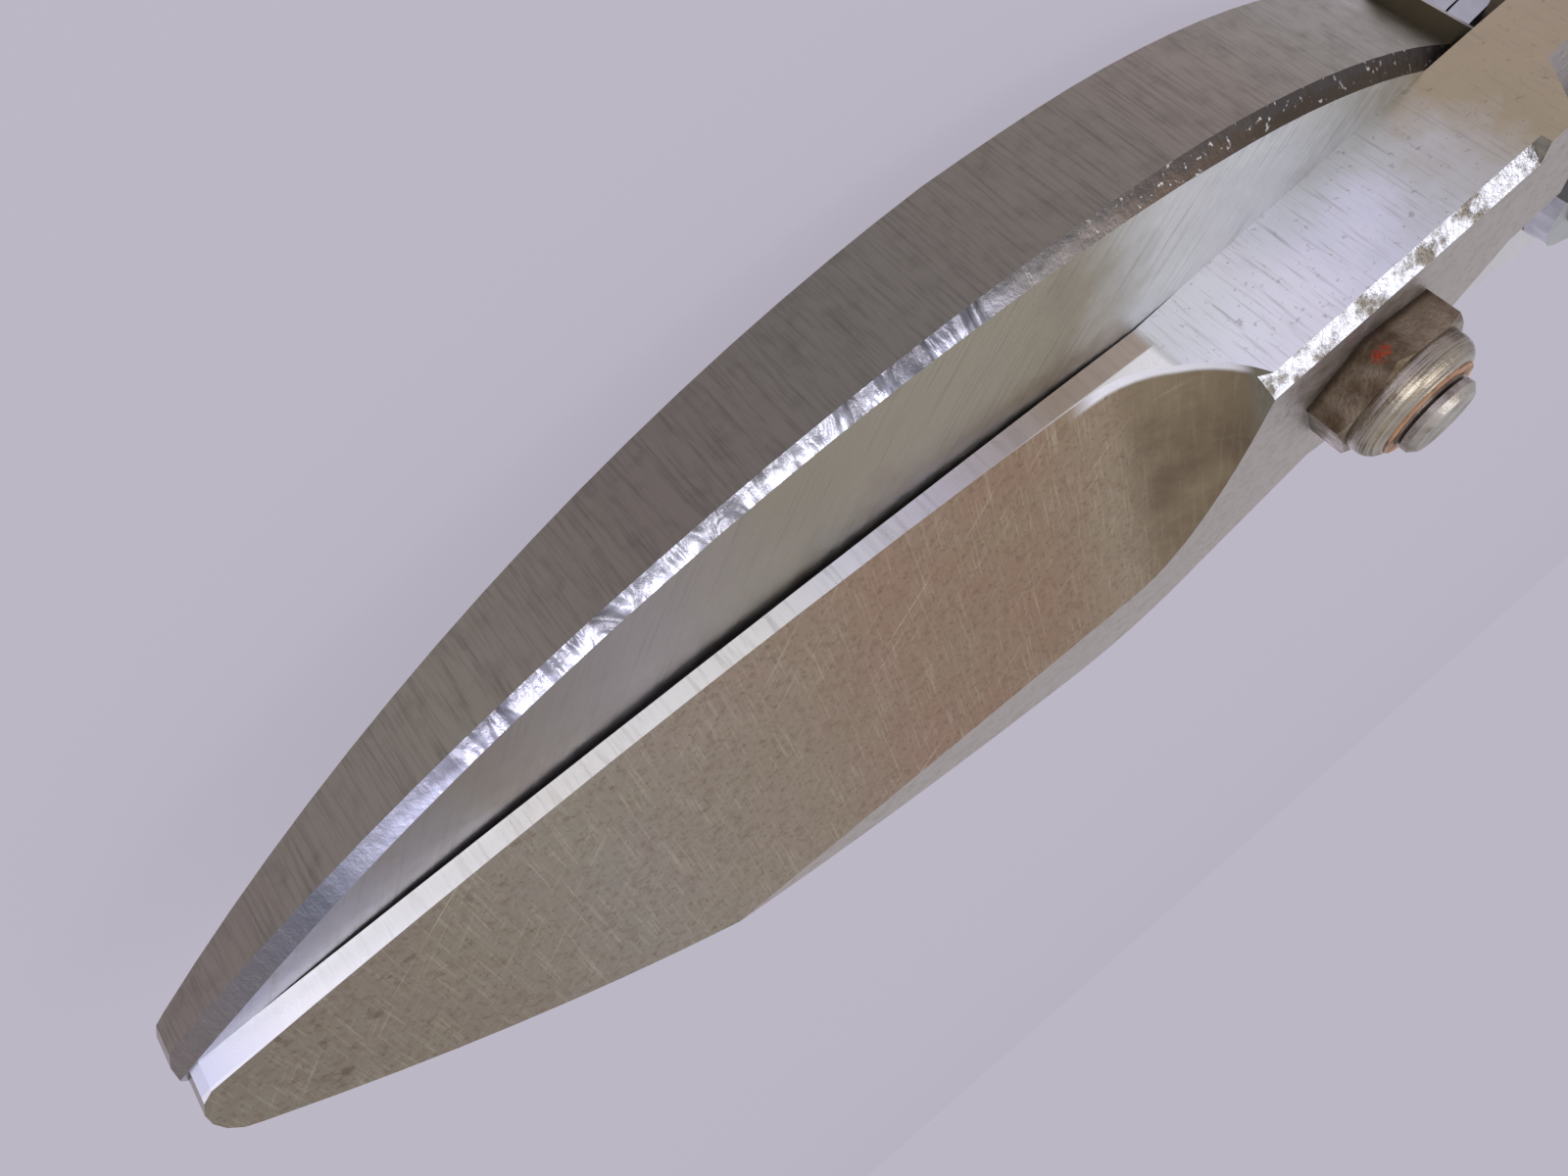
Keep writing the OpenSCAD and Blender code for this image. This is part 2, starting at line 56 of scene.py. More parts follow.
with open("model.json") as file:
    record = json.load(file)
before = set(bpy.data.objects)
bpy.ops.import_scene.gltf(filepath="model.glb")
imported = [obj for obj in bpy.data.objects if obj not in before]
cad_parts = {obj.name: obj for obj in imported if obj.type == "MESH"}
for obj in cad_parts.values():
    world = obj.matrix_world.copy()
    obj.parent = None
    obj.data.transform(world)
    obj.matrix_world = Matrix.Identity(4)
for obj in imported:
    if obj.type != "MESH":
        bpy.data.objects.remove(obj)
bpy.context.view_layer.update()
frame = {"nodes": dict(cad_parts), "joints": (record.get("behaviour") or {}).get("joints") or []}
nodes = frame["nodes"]
MM = 0.001
pivot = Vector(next(j for j in frame["joints"] if j["name"] == "blade_pivot")["pos_m"])


def linear(text):
    """Linear RGBA of an sRGB hex colour."""
    parts = [int(text[i : i + 2], 16) / 255 for i in (1, 3, 5)]
    return tuple(c / 12.92 if c <= 0.04045 else ((c + 0.055) / 1.055) ** 2.4 for c in parts) + (1.0,)


def add(tree, kind, inputs=None, **settings):
    """Adds one node with its settings; an input is a value, a socket, or a node, which gives its result."""
    node = tree.nodes.new(kind)
    for key, value in settings.items():
        setattr(node, key, value)
    for key, value in (inputs or {}).items():
        if isinstance(value, bpy.types.Node):
            value = next(s for s in value.outputs if s.enabled)
        if isinstance(value, bpy.types.NodeSocket):
            tree.links.new(value, node.inputs[key])
        else:
            node.inputs[key].default_value = value
    return node


def new_material(name, metallic, roughness):
    """A material with an empty Principled surface, its tree, and its surface."""
    material = bpy.data.materials.new(name)
    material.use_nodes = True
    tree = material.node_tree
    tree.nodes.clear()
    surface = add(tree, "ShaderNodeBsdfPrincipled", {"Metallic": metallic, "Roughness": roughness})
    add(tree, "ShaderNodeOutputMaterial", {"Surface": surface})
    return material, tree, surface


def pivot_frame(tree, turned=False):
    """Place in mm from the pivot, and the surface's direction, for a blade as drawn or turned over."""
    turn = (math.pi if turned else 0.0, 0.0, 0.0)
    flip = -1 if turned else 1
    shift = (-pivot.x / MM, -pivot.y / MM * flip, -pivot.z / MM * flip)
    coordinates = add(tree, "ShaderNodeTexCoord")
    place = add(tree, "ShaderNodeMapping", {
        "Vector": coordinates.outputs["Object"], "Location": shift,
        "Rotation": turn, "Scale": (1 / MM,) * 3})
    facing = add(tree, "ShaderNodeMapping", {
        "Vector": coordinates.outputs["Normal"], "Rotation": turn}, vector_type="VECTOR")
    return place, add(tree, "ShaderNodeSeparateXYZ", {0: place}), add(tree, "ShaderNodeSeparateXYZ",
            {0: facing})


def between(tree, value, low, high):
    """A mask that rises smoothly from 0 at low to 1 at high, or falls where low is above high."""
    return add(tree, "ShaderNodeMapRange", {0: value, 1: low, 2: high}, interpolation_type="SMOOTHSTEP")


def product(tree, *values):
    """The product of several masks."""
    result = values[0]
    for value in values[1:]:
        result = add(tree, "ShaderNodeMath", {0: result, 1: value}, operation="MULTIPLY")
    return result


def blend_in(tree, base, colour, mask):
    """Lays one colour over another where the mask is 1."""
    return add(tree, "ShaderNodeMix", {0: mask, 6: base, 7: colour}, data_type="RGBA")


def tones(tree, value, low, high, *stops):
    """Colours that follow one value, each stop a place and a hex colour."""
    share = add(tree, "ShaderNodeMapRange", {0: value, 1: low, 2: high})
    ramp = add(tree, "ShaderNodeValToRGB", {0: share})
    elements = ramp.color_ramp.elements
    elements.remove(elements[1])
    elements[0].position = (stops[0][0] - low) / (high - low)
    elements[0].color = linear(stops[0][1])
    for at, colour in stops[1:]:
        elements.new((at - low) / (high - low)).color = linear(colour)
    return ramp.outputs["Color"]


def marks(tree, place, spacing, length, angle=0.0, detail=3.0, seed=0.0):
    """Grinding marks: fine streaks a spacing apart in mm, running across the blade and turned by an angle."""
    turned = add(tree, "ShaderNodeVectorRotate", {"Vector": place, "Angle": math.radians(angle)},
            rotation_type="Z_AXIS")
    stretched = add(tree, "ShaderNodeMapping", {
        "Vector": turned, "Location": (seed, seed, 0), "Scale": (1 / spacing, 1 / length, 1 / length)})
    return add(tree, "ShaderNodeTexNoise", {"Vector": stretched, "Scale": 1.0, "Detail": detail,
            "Roughness": 0.6})


def blotches(tree, place, size, detail=4.0, seed=0.0):
    """Uneven patches of a size in mm, from 0 to 1."""
    moved = add(tree, "ShaderNodeMapping", {"Vector": place, "Location": (seed, seed, seed),
            "Scale": (1 / size,) * 3})
    return add(tree, "ShaderNodeTexNoise", {"Vector": moved, "Scale": 1.0, "Detail": detail,
            "Roughness": 0.62})


def relief_bump(tree, surface, height, strength=1.0):
    """Bump from a height in mm."""
    bump = add(tree, "ShaderNodeBump", {"Height": height, "Distance": MM, "Strength": strength})
    tree.links.new(bump.outputs[0], surface.inputs["Normal"])


def summed(tree, *values):
    """The sum of several values."""
    result = values[0]
    for value in values[1:]:
        result = add(tree, "ShaderNodeMath", {0: result, 1: value}, operation="ADD")
    return result


def paint(material, *names):
    """Gives CAD nodes their material."""
    for name in names:
        mesh = nodes[name].data
        mesh.materials.clear()
        mesh.materials.append(material)


# ---- Blades ----


def forged_blade_steel(name, turned):
    """Drop-forged carbon steel, ground on its working faces: satin faces with the wheel's marks
    square to the edge, a land painted bright as a highlight, a hammered bevel with a painted highlight and a dull
    brown patina where hands don't rub."""
    material, tree, surface = new_material(name, 1.0, 0.4)
    place, at, facing = pivot_frame(tree, turned)
    x, y, z = at.outputs
    nx, ny, nz = facing.outputs

    # Regions, by which way the steel faces; the edge side is +y and the outer side is +z
    working = between(tree, x, -15.5, -16.5)
    upward = product(tree, between(tree, ny, 0.80, 0.88), between(tree, nz, 0.16, 0.10))
    land = product(tree, upward, working)
    top = product(tree, upward, between(tree, x, -16.5, -15.5))
    inner = between(tree, nz, -0.90, -0.96)
    outer = between(tree, nz, 0.975, 0.988)
    arris = product(tree, between(tree, ny, 0.52, 0.60), between(tree, nz, 0.5, 0.6), between(tree, x,
            -18, -17))
    relief = product(tree, between(tree, nz, 0.40, 0.50), between(tree, ny, 0.08, 0.14),
                     between(tree, ny, 0.52, 0.46), between(tree, x, -8, -10))
    runout = product(tree, relief, between(tree, nx, -0.06, -0.45))
    bevel = product(tree, between(tree, nz, -0.35, -0.5), between(tree, nz, -0.9, -0.8), between(tree,
            ny, -0.2, -0.4))

    # The wheel's marks, drawn coarser than 80 grit leaves them so that they show
    across = marks(tree, place, 0.40, 5.0)
    across_fine = marks(tree, place, 0.20, 4.0, seed=7.0)
    slanted = marks(tree, place, 0.30, 9.0, angle=-32, seed=3.0)
    scratches = marks(tree, place, 0.35, 40.0, angle=58, detail=5.0, seed=11.0)
    scratch = between(tree, scratches, 0.66, 0.72)
    hairlines = marks(tree, place, 0.22, 7.0, angle=52, detail=4.0, seed=21.0)
    patches = blotches(tree, place, 9.0, seed=2.0)
    mottle = blotches(tree, place, 1.6, detail=6.0, seed=5.0)
    grain = blotches(tree, place, 0.7, detail=6.0, seed=15.0)
    speckle = between(tree, blotches(tree, place, 0.5, detail=2.0, seed=9.0), 0.62, 0.72)
    dents = add(tree, "ShaderNodeTexNoise", {
        "Vector": add(tree, "ShaderNodeMapping", {"Vector": place, "Scale": (0.42, 0.20, 0.20)}),
        "Scale": 1.0, "Detail": 2.5, "Roughness": 0.45, "Distortion": 0.6})

    # Back of the blade: dull grey-brown with a coarse grind
    colour = tones(tree, x, -92, 40, (-88, "#726b62"), (-66, "#787467"), (-51, "#6c665d"), (-38, "#6b685f"),
                   (-18, "#777266"), (-9, "#80796c"), (2, "#817e70"), (25, "#837b6b"))
    colour = blend_in(tree, colour, linear("#3f3935"), product(tree, between(tree, across_fine, 0.42,
            0.75), 0.35))
    colour = blend_in(tree, colour, linear("#3f3935"), product(tree, between(tree, mottle, 0.45, 0.8),
            0.25))

    # Inner face: slanting marks, brighter behind where the blades rub
    worn = summed(tree, x, product(tree, patches, 12.0))
    inner_colour = tones(tree, worn, -90, 20, (-77, "#828191"), (-61, "#807871"), (-50, "#918a8c"), (-39,
            "#928a7d"),
                         (-16, "#9f9889"), (-10, "#d1d1d0"), (0, "#e0e0e0"), (10, "#cfccd0"))
    inner_colour = blend_in(tree, inner_colour, linear("#6d574a"), product(tree, between(tree, patches,
            0.52, 0.75), 0.3))
    # Light along the shear line, from the distance in mm off the other blade's edge
    off_edge = add(tree, "ShaderNodeMath", {0: summed(tree, y, product(tree, x, 0.0865)), 1: -1.0},
            operation="MULTIPLY")
    off_edge = summed(tree, off_edge, product(tree, patches, 3.0))
    inner_colour = blend_in(tree, inner_colour, linear("#c2bfc6"), product(tree, between(tree, off_edge,
            13.5, 11.0), 0.45))
    inner_colour = blend_in(tree, inner_colour, linear("#6d6762"), product(tree, between(tree, slanted,
            0.5, 0.8), 0.4))
    colour = blend_in(tree, colour, inner_colour, inner)

    # Rough bevel along the back: a painted highlight along its middle, darker toward both ends
    bright = product(tree, between(tree, x, -72, -62), between(tree, x, -26, -34))
    bevel_colour_with_highlight = tones(tree, x, -92, 20, (-90, "#716969"), (-78, "#62636f"), (-69, "#c0bfda"), (-45,
            "#e9e9fa"),
                         (-34, "#b0b0c4"), (-27, "#7b7777"), (-17, "#62564e"), (-6, "#473d35"))
    # Painted shade in the dents' low places, inside the painted highlight
    bevel_colour_with_highlight = blend_in(tree, bevel_colour_with_highlight, linear("#5d5a5e"),
                            product(tree, between(tree, dents, 0.50, 0.38), bright, 0.8))
    notches = between(tree, summed(tree, z, product(tree, dents, 1.8)), 1.35, 1.75)
    bevel_colour_with_highlight = blend_in(tree, bevel_colour_with_highlight, linear("#4d4a4c"), product(tree, notches, between(tree,
            x, -78, -66), 0.6))
    bevel_colour_with_highlight = blend_in(tree, bevel_colour_with_highlight, linear("#e4e4ea"),
                            product(tree, between(tree, x, -24, -16), speckle, 0.6))
    colour = blend_in(tree, colour, bevel_colour_with_highlight, bevel)

    # Relief: olive to brown patina over the grind
    relief_colour = tones(tree, x, -92, -8, (-89, "#7c7469"), (-77, "#80756b"), (-65, "#878078"), (-53,
            "#8a7c71"),
                          (-41, "#8a7264"), (-28, "#876e5d"), (-21, "#8a7a69"), (-15, "#6b5b4b"))
    relief_colour = blend_in(tree, relief_colour, linear("#85806c"), product(tree, between(tree, patches,
            0.35, 0.7), 0.30))
    relief_colour = blend_in(tree, relief_colour, linear("#6d574a"), product(tree, between(tree, grain,
            0.45, 0.75), 0.5))
    relief_colour = blend_in(tree, relief_colour, linear("#b3a899"), product(tree, between(tree,
            across_fine, 0.5, 0.8), 0.40))
    relief_colour = blend_in(tree, relief_colour, linear("#bdb3a2"), product(tree, between(tree,
            hairlines, 0.56, 0.76), 0.22))
    relief_colour = blend_in(tree, relief_colour, linear("#51443a"),
                             product(tree, between(tree, blotches(tree, place, 0.35, detail=3.0,
                                     seed=31.0), 0.52, 0.72), 0.40))
    spots = product(tree, between(tree, mottle, 0.60, 0.70), between(tree, x, -58, -80), 0.5)
    relief_colour = blend_in(tree, relief_colour, linear("#54443b"), spots)
    relief_colour = blend_in(tree, relief_colour, linear("#c9c0b2"), product(tree, scratch, 0.32))
    colour = blend_in(tree, colour, relief_colour, relief)
    runout_colour = blend_in(tree, linear("#857862"), linear("#55463a"), between(tree, patches, 0.3, 0.7))
    colour = blend_in(tree, colour, runout_colour, product(tree, runout, 0.7))
    # Bright line where the run-out meets the boss: edge wear and a painted highlight
    boss_line = summed(tree, product(tree, x, 0.2493), 11.99)
    land_line = summed(tree, product(tree, x, 0.0865), 9.38)
    top_line = add(tree, "ShaderNodeMath", {0: boss_line, 1: land_line}, operation="MAXIMUM")
    below_top = summed(tree, top_line, product(tree, y, -1.0))
    crease_wear_and_highlight = product(tree, relief, between(tree, below_top, 0.75, 0.35), between(tree, x, -24, -21))
    colour = blend_in(tree, colour, linear("#d8d6de"), crease_wear_and_highlight)

    # Land: ground steel with a painted highlight, near-white and brightest at the tip
    land_colour_with_highlight = tones(tree, x, -92, -16, (-90, "#d7daed"), (-83, "#f9f9f9"), (-76, "#f9f9f9"), (-65,
            "#f9f9f9"),
                        (-57, "#f9f9f9"), (-50, "#f8f9f9"), (-42, "#e8eaf9"), (-35, "#cdc9dc"), (-24,
                                "#a3958b"))
    land_colour_with_highlight = blend_in(tree, land_colour_with_highlight, linear("#7d766f"),
                           product(tree, between(tree, across, 0.45, 0.75), between(tree, x, -92, -60),
                                   0.3))
    # Painted highlight along the land's upper edge
    land_colour_with_highlight = blend_in(tree, land_colour_with_highlight, linear("#f2f2f8"), product(tree, between(tree, z, 1.70,
            1.85), 0.8))
    colour = blend_in(tree, colour, land_colour_with_highlight, land)

    # Boss and shank top: silvery, with a thin bloom of rust toward the handles
    bloom = summed(tree, x, product(tree, patches, 16.0))
    top_colour = tones(tree, bloom, -16, 50, (-5, "#d1d3da"), (0, "#cfced7"), (5, "#c1c2cd"), (10,
            "#afb1b0"),
                       (17, "#988d74"), (40, "#9d8f7b"))
    top_colour = blend_in(tree, top_colour, linear("#7d776f"), product(tree, between(tree, across_fine,
            0.5, 0.8), 0.5))
    top_colour = blend_in(tree, top_colour, linear("#6d6255"), product(tree, speckle, 0.4))
    colour = blend_in(tree, colour, top_colour, top)

    # Rough rolled arris between the shank's top and side
    arris_colour = blend_in(tree, linear("#dcdce6"), linear("#7c756c"), between(tree, mottle, 0.45, 0.65))
    colour = blend_in(tree, colour, arris_colour, arris)

    # Outer side: forged skin, lightly ground along the working part
    outer_colour = blend_in(tree, linear("#a39a99"), linear("#8d8480"), between(tree, grain, 0.4, 0.8))
    outer_colour = blend_in(tree, outer_colour, linear("#5d554c"), product(tree, speckle, 0.5,
            between(tree, x, -30, -10)))
    colour = blend_in(tree, colour, outer_colour, outer)
    tree.links.new(colour.outputs[2], surface.inputs["Base Color"])

    # Roughness: the land and rubbed face are smoothest
    rough = add(tree, "ShaderNodeMapRange", {0: mottle, 1: 0.3, 2: 0.8, 3: 0.34, 4: 0.50})
    rough = add(tree, "ShaderNodeMath", {0: rough, 1: product(tree, bevel, bright, -0.14)}, operation="ADD")
    rough = add(tree, "ShaderNodeMath", {0: rough, 1: product(tree, land, -0.10)}, operation="ADD")
    tree.links.new(rough.outputs[0], surface.inputs["Roughness"])

    # The land is made partly non-metallic so that its painted highlight shows as an even pale brightness; the boss
    # near the pivot is made partly non-metallic too, as fine fresh grinding scatters light
    metallic_share = summed(tree, product(tree, land, -0.6), product(tree, top, between(tree, x, 10, -2),
            -0.35), 1.0)
    tree.links.new(metallic_share.outputs[0], surface.inputs["Metallic"])

    # Heights in mm
    ground = summed(tree, product(tree, across, 0.020), product(tree, across_fine, 0.008))
    not_inner = add(tree, "ShaderNodeMath", {0: 1.0, 1: inner}, operation="SUBTRACT")
    height = summed(
        tree,
        product(tree, ground, not_inner),
        product(tree, slanted, inner, 0.03),
        product(tree, dents, bevel, bright, 1.5),
        product(tree, mottle, bevel, 0.12),
        product(tree, mottle, arris, 0.5),
        product(tree, scratch, relief, -0.012),
        product(tree, hairlines, relief, 0.008),
        product(tree, grain, relief, 0.03),
        product(tree, mottle, outer, between(tree, x, -34, -12), 0.16),
        product(tree, mottle, 0.015))
    relief_bump(tree, surface, height)
    return material


class SNIPS_OT_blades(bpy.types.Operator):
    """Gives both blades their forged and ground steel"""

    bl_idname = "snips.blades"
    bl_label = "Finish the blades"

    def execute(self, context):
        paint(forged_blade_steel("Forged carbon steel, ground, lower blade", False), "lower_blade")
        paint(forged_blade_steel("Forged carbon steel, ground, upper blade", True), "upper_blade")
        return {"FINISHED"}


# ---- Pivot bolt, nut and insert ----


def machined_steel(name, base, tint, roughness=0.36, wear=0.12):
    """Turned or cold-headed steel gone dull: a soft metal sheen, oily brown film in the low places."""
    material, tree, surface = new_material(name, 1.0, roughness)
    place, at, facing = pivot_frame(tree)
    patches = blotches(tree, place, 2.6, detail=5.0)
    fine = blotches(tree, place, 0.35, detail=3.0, seed=4.0)
    colour = blend_in(tree, linear(base), linear(tint), between(tree, patches, 0.38, 0.66))
    colour = blend_in(tree, colour, linear("#3a332c"), product(tree, between(tree, fine, 0.6, 0.75), 0.35))
    tree.links.new(colour.outputs[2], surface.inputs["Base Color"])
    rough = add(tree, "ShaderNodeMapRange", {0: patches, 1: 0.3, 2: 0.7, 3: roughness - 0.06,
            4: roughness + wear})
    tree.links.new(rough.outputs[0], surface.inputs["Roughness"])
    relief_bump(tree, surface, summed(tree, product(tree, fine, 0.03), product(tree, patches, 0.08)))
    return material


def lock_nut_steel():
    """Cold-formed steel lock nut, handled and oily: bronze-grey film, a shiny rolled collar,
    a dab of red marking paint on one flat and painted shade at its base beside the blade."""
    material, tree, surface = new_material("Cold-formed steel lock nut, oiled", 1.0, 0.34)
    place, at, facing = pivot_frame(tree)
    x, y, z = at.outputs
    patches = blotches(tree, place, 2.2, detail=5.0, seed=1.0)
    fine = blotches(tree, place, 0.3, detail=3.0, seed=6.0)
    turned = marks(tree, add(tree, "ShaderNodeVectorRotate", {"Vector": place, "Angle": math.pi / 2},
            rotation_type="Y_AXIS"), 0.14, 6.0)
    colour = blend_in(tree, linear("#877a68"), linear("#5a4a3a"), between(tree, patches, 0.35, 0.7))
    collar = between(tree, z, 12.4, 13.0)
    colour = blend_in(tree, colour, linear("#a39e98"), product(tree, collar, between(tree, turned, 0.35,
            0.65), 0.8))
    # Painted shade at the nut's base, where it sits on the blade
    colour = blend_in(tree, colour, linear("#2e2620"), product(tree, between(tree, z, 10.2, 9.6), 0.75))
    colour = blend_in(tree, colour, linear("#2e2620"), product(tree, between(tree, fine, 0.6, 0.75), 0.4))
    dab = add(tree, "ShaderNodeVectorMath", {0: place, 1: (-2.9, 4.9, 11.1)}, operation="DISTANCE")
    red = product(tree, between(tree, summed(tree, dab.outputs["Value"], product(tree, fine, 0.8)), 1.3,
            0.9), 0.8)
    colour = blend_in(tree, colour, linear("#a83a26"), red)
    tree.links.new(colour.outputs[2], surface.inputs["Base Color"])
    rough = add(tree, "ShaderNodeMapRange", {0: patches, 1: 0.3, 2: 0.7, 3: 0.26, 4: 0.44})
    tree.links.new(rough.outputs[0], surface.inputs["Roughness"])
    relief_bump(tree, surface, summed(tree, product(tree, fine, 0.03), product(tree, patches, 0.10),
            product(tree, turned, collar, 0.02)))
    return material


def vulcanised_fibre():
    """Vulcanised fibre ring, moulded: matt tan, darkened by oil."""
    material, tree, surface = new_material("Vulcanised fibre insert", 0.0, 0.6)
    place, at, facing = pivot_frame(tree)
    patches = blotches(tree, place, 1.2)
    colour = blend_in(tree, linear("#a17a5e"), linear("#5f4231"), between(tree, patches, 0.4, 0.7))
    tree.links.new(colour.outputs[2], surface.inputs["Base Color"])
    relief_bump(tree, surface, product(tree, patches, 0.08))
    return material


class SNIPS_OT_pivot(bpy.types.Operator):
    """Gives the pivot bolt, its washer, the lock nut and its insert their finishes"""

    bl_idname = "snips.pivot"
    bl_label = "Finish the pivot"

    def execute(self, context):
        paint(machined_steel("Cold-headed steel bolt, oiled", "#9b9590", "#71675e", 0.36), "pivot_bolt",
                "pivot_washer")
        paint(lock_nut_steel(), "pivot_nut")
        paint(vulcanised_fibre(), "nut_insert")
        return {"FINISHED"}


# ---- Handles, rivets and latch ----


def zinc_plated_sheet(name, base, tint):
    """Pressed steel sheet, zinc plated: cool grey with a faint cloudy spangle, drawing lines
    along the channel, and fine handling scratches."""
    material, tree, surface = new_material(name, 1.0, 0.36)
    place, at, facing = pivot_frame(tree)
    clouds = blotches(tree, place, 3.5, detail=5.0)
    fine = blotches(tree, place, 0.4, detail=3.0, seed=4.0)
    drawn = marks(tree, place, 0.3, 25.0, angle=90, seed=2.0)
    scratch = between(tree, marks(tree, place, 0.4, 30.0, angle=64, detail=5.0, seed=8.0), 0.67, 0.72)
    colour = blend_in(tree, linear(base), linear(tint), between(tree, clouds, 0.3, 0.75))
    colour = blend_in(tree, colour, linear("#5c5750"), product(tree, between(tree, fine, 0.62, 0.76), 0.3))
    colour = blend_in(tree, colour, linear("#d4d4d6"), product(tree, scratch, 0.5))
    tree.links.new(colour.outputs[2], surface.inputs["Base Color"])
    rough = add(tree, "ShaderNodeMapRange", {0: clouds, 1: 0.3, 2: 0.7, 3: 0.30, 4: 0.44})
    tree.links.new(rough.outputs[0], surface.inputs["Roughness"])
    relief_bump(tree, surface, summed(tree, product(tree, drawn, 0.015), product(tree, clouds, 0.06),
            product(tree, scratch, -0.01)))
    return material


class SNIPS_OT_handles(bpy.types.Operator):
    """Gives the handle channels, rivets, washers, sleeve and latch their finishes"""

    bl_idname = "snips.handles"
    bl_label = "Finish the handles and latch"

    def execute(self, context):
        paint(zinc_plated_sheet("Pressed steel sheet, zinc plated", "#a3a5a8", "#93959a"),
              "upper_handle_frame", "lower_handle_frame")
        paint(zinc_plated_sheet("Stamped spring steel, zinc plated", "#b0b1b2", "#8f9091"), "latch_hook")
        paint(machined_steel("Cold-headed steel rivet", "#b0aca6", "#8c857c", 0.34),
              "upper_tang_rivet", "lower_tang_rivet", "lower_tang_washers", "handle_centre_rivet",
              "centre_sleeve", "latch_rivet", "latch_washer", "latch_stud")
        return {"FINISHED"}


# ---- Vinyl grips ----


class SNIPS_PG_grips(bpy.types.PropertyGroup):
    """Sizes and colour of the grips."""

    ribs: IntProperty(name="Ribs", description="Grooves moulded across the palm side", default=11, min=0,
            max=20)
    rib_depth: FloatProperty(
        name="Rib depth", description="Depth of each groove", default=0.55 * MM, min=0.0, max=1.5 * MM, unit="LENGTH")
    lip: FloatProperty(
        name="Front lip", description="Height of the rolled lip at the front", default=1.1 * MM, min=0.0,
        max=2.0 * MM, unit="LENGTH")
    colour: FloatVectorProperty(
        name="Vinyl", description="Colour of the grips", default=linear("#dba514")[:3], subtype="COLOR",
        size=3, min=0.0, max=1.0)


def moulded_vinyl(colour):
    """Soft PVC, dip moulded: a waxy low sheen, a slight orange peel, and grey dirt in the grooves."""
    material, tree, surface = new_material("Soft vinyl, dip moulded", 0.0, 0.42)
    place, at, facing = pivot_frame(tree)
    patches = blotches(tree, place, 12.0, detail=5.0)
    peel = blotches(tree, place, 0.9, detail=2.0, seed=3.0)
    grime = product(tree, between(tree, blotches(tree, place, 3.0, detail=6.0, seed=8.0), 0.52, 0.75), 0.35)
    rich = add(tree, "ShaderNodeHueSaturation", {"Color": (*colour, 1.0), "Value": 0.86,
            "Saturation": 1.05})
    base = blend_in(tree, (*colour, 1.0), rich, between(tree, patches, 0.4, 0.65))
    base = blend_in(tree, base, linear("#6b5a34"), grime)
    tree.links.new(base.outputs[2], surface.inputs["Base Color"])
    rough = add(tree, "ShaderNodeMapRange", {0: patches, 1: 0.3, 2: 0.7, 3: 0.36, 4: 0.52})
    tree.links.new(rough.outputs[0], surface.inputs["Roughness"])
    relief_bump(tree, surface, summed(tree, product(tree, peel, 0.05), product(tree, grime, 0.05)))
    return material


TANG_Y, WEB_FRONT, BOW, BOW_RUN = 12.5, 67.0, 10.0, 94.0  # mm, centre line of the handle channel
CHANNEL_HALF_H, GRIP_WALL, PALM_SWELL = 6.0, 2.4, 1.4  # mm


def handle_line(x):
    """Height in mm of the channel's centre line, at a distance in mm behind the pivot."""
    return TANG_Y + BOW * math.sin(math.radians(90 * max(0.0, x - WEB_FRONT) / BOW_RUN)) ** 2


def grip_mesh(side, low, high, sizes):
    """A sheath lofted along the handle: rolled lip in front, palm swell with ribs, round closed end."""
    mesh = bmesh.new()
    start = (low.x - pivot.x) / MM
    end = (high.x - pivot.x) / MM
    half_w = (high.z - low.z) / 2 / MM
    steps, around, power = 150, 44, 3.6
    rings = []
    for i in range(steps + 1):
        u = i / steps
        x = start + (end - start) * u
        run = x - start
        half_h = CHANNEL_HALF_H + GRIP_WALL + PALM_SWELL * math.sin(math.pi * u) ** 2
        lip = sizes.lip / MM * math.exp(-((run - 2.0) / 1.7) ** 4)
        round_end = math.sqrt(max(0.0, 1 - max(0.0, (x - (end - 6.0)) / 6.0) ** 2.2))
        first = min(1.0, 0.80 + 0.2 * math.sqrt(min(1.0, run / 0.9)))
        h = (half_h - 0.5 + lip) * first
        w = (half_w - 0.7 + min(0.7, lip)) * first
        ring = []
        for k in range(around):
            a = 2 * math.pi * k / around
            c, s = math.cos(a), math.sin(a)
            q = (abs(c) ** power + abs(s) ** power) ** (-1 / power)
            dy, dz = q * c * h, q * s * w
            palm = max(0.0, c) ** 2
            if 16.0 < run < end - start - 14.0:
                phase = (run - 16.0) / (end - start - 30.0) * sizes.ribs
                dy -= sizes.rib_depth / MM * palm * math.exp(-(((phase % 1.0) - 0.5) / 0.16) ** 4)
            squeeze = 0.25 + 0.75 * round_end if u < 1 else 0.0
            ring.append(mesh.verts.new((
                pivot.x + x * MM,
                side * (handle_line(x) + dy * squeeze) * MM,
                pivot.z + dz * squeeze * MM)))
        rings.append(ring)
    for a, b in zip(rings, rings[1:]):
        for k in range(around):
            mesh.faces.new((a[k], b[k], b[(k + 1) % around], a[(k + 1) % around]))
    for ring in (rings[0], rings[-1]):
        mesh.faces.new(ring)
    bmesh.ops.remove_doubles(mesh, verts=mesh.verts, dist=1e-6)
    bmesh.ops.recalc_face_normals(mesh, faces=mesh.faces)
    return mesh


def to_object(name, mesh, material):
    """Turns finished mesh code into a smooth-shaded object."""
    data = bpy.data.meshes.new(name)
    mesh.to_mesh(data)
    mesh.free()
    for face in data.polygons:
        face.use_smooth = len(face.vertices) < 5
    piece = bpy.data.objects.new(name, data)
    bpy.context.scene.collection.objects.link(piece)
    data.materials.append(material)
    return piece


